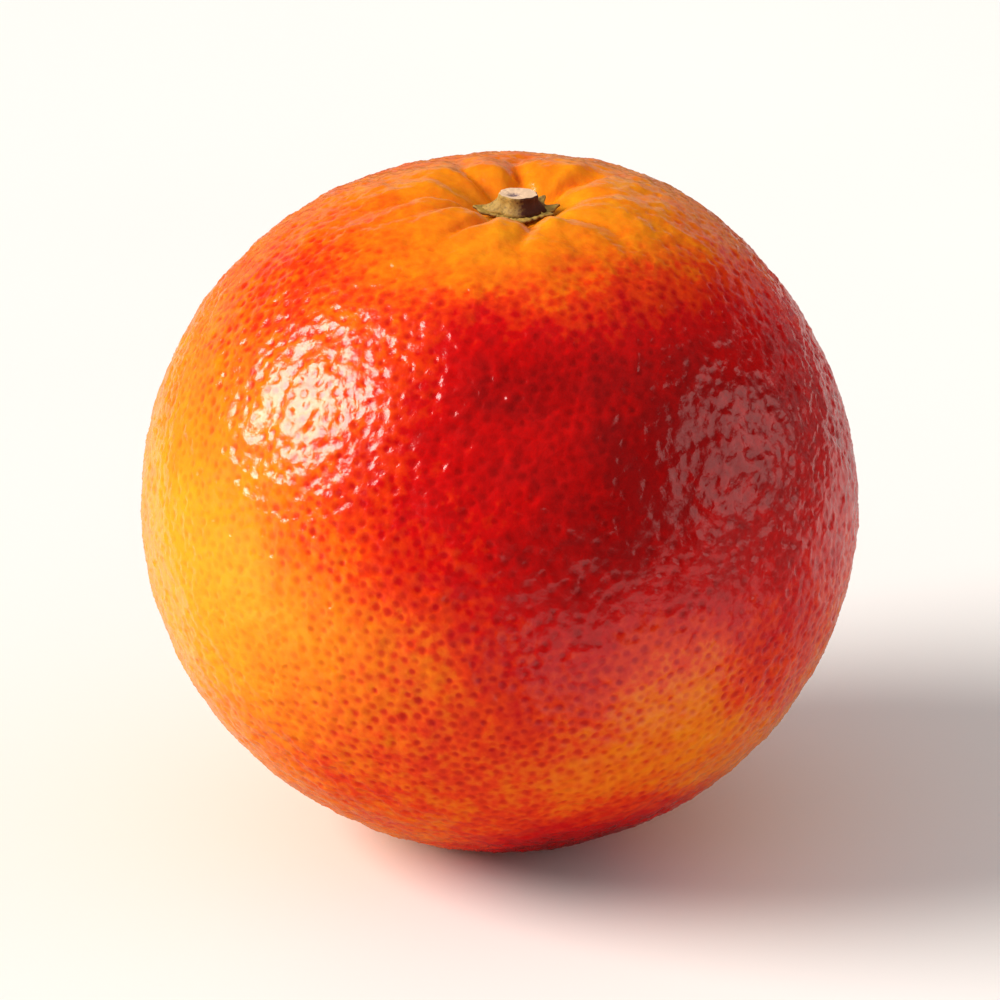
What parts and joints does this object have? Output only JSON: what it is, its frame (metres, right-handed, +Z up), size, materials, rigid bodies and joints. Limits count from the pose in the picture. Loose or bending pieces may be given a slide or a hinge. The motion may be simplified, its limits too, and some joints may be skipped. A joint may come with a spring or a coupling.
{
  "type": "blood orange",
  "caption": "Whole round blood orange: dimpled, blushed rind, a sunken and furrowed stem end with a star calyx and a cut stub of stalk, and a small flat at the blossom end to rest on.",
  "frame": {"origin": "centre of the small flat at the blossom end that the fruit rests on, under the middle of its widest section", "axes": "+Z up, out through the stem end; -Y out of the front, the side with the red blush; +X to the right of someone facing the front"},
  "size_m": [0.076, 0.076, 0.0716],
  "materials": {
    "rind": "waxy orange citrus rind with a deep red blush and darker red oil glands, glossy over fine dimples",
    "sepal": "dried olive to khaki green sepals, matt and finely wrinkled, brown in their folds",
    "cut_stalk": "olive bark with a pale, slightly pink cut face around a grey-brown pith"
  },
  "bodies": {
    "root": {"fruit": "rind", "calyx": "sepal", "stalk": "cut_stalk"}
  },
  "joints": []
}
